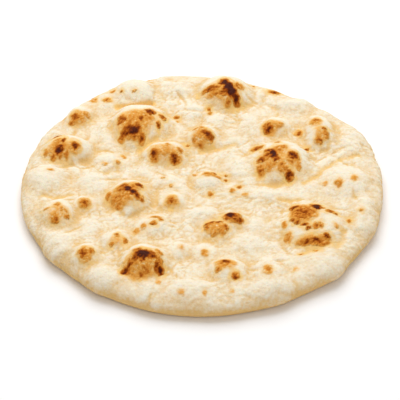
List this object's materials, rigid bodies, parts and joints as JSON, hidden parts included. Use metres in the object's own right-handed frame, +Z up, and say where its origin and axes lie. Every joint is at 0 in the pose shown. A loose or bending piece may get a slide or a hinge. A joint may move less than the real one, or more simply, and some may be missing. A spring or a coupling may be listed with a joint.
{
  "type": "naan bread",
  "caption": "Round, hand-stretched flatbread with a plump rounded edge, a flat underside and a top raised in scorched blisters and soft pillows.",
  "frame": {"origin": "on the flat underside, under the middle of the bread's outline", "axes": "+Z up out of the blistered top, +X to the right and +Y away from the side of the bread that is seen first"},
  "size_m": [0.2398, 0.2408, 0.0227],
  "materials": {
    "crust": "matte"
  },
  "bodies": {
    "root": {"naan": "crust"}
  },
  "joints": []
}
